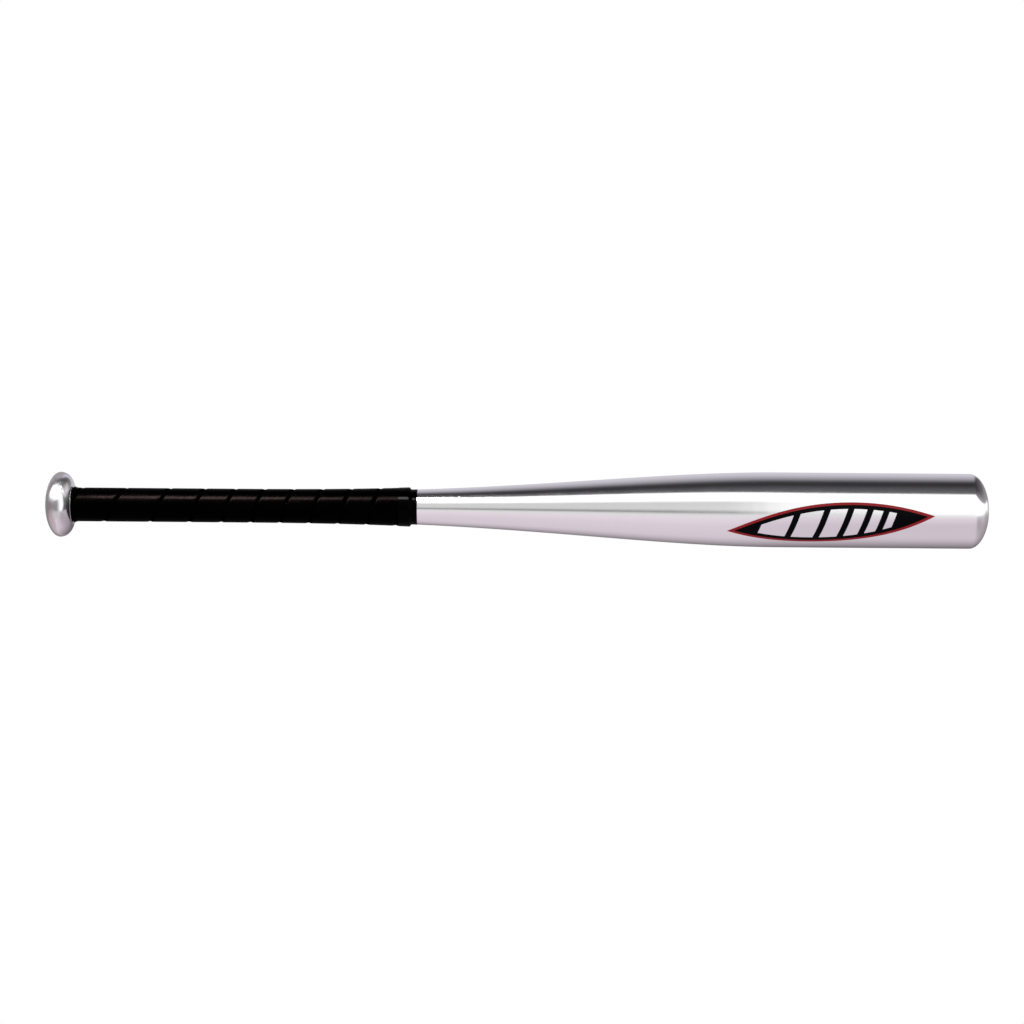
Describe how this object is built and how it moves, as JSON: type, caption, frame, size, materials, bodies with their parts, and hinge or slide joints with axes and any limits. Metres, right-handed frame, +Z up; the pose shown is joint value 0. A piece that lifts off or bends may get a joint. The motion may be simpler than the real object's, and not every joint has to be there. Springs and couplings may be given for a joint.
{
  "type": "baseball bat",
  "caption": "Round tubular metal baseball bat with a spun-closed barrel end, mushroom knob, spiral-wrapped grip and a pointed decal on the barrel.",
  "frame": {"origin": "centre of the flat facing on the knob's end face, on the bat's axis", "axes": "+X along the bat's axis from the knob to the barrel's tip; -Y towards the side that carries the decal; +Z up when the bat lies level with the decal facing the viewer"},
  "size_m": [0.7112, 0.0567, 0.0566],
  "materials": {
    "shell_aluminium": "satin",
    "knob_aluminium": "polished",
    "weld_aluminium": "satin",
    "slug_steel": "satin",
    "plug_rubber": "matte",
    "dam_fibre": "matte",
    "foam": "matte",
    "adhesive_film": "satin",
    "grip_leather": "satin",
    "tape_vinyl": "satin",
    "vinyl_red": "gloss",
    "vinyl_black": "gloss",
    "vinyl_silver": "satin"
  },
  "bodies": {
    "root": {"bat_shell": "shell_aluminium", "end_plug": "plug_rubber", "foam_dam": "dam_fibre", "barrel_foam": "foam", "knob": "knob_aluminium", "knob_weld": "weld_aluminium", "balance_slug": "slug_steel", "grip_underlay": "adhesive_film", "grip_wrap": "grip_leather", "finishing_tape": "tape_vinyl", "decal_border": "vinyl_red", "decal_field": "vinyl_black", "decal_bars": "vinyl_silver"}
  },
  "joints": []
}
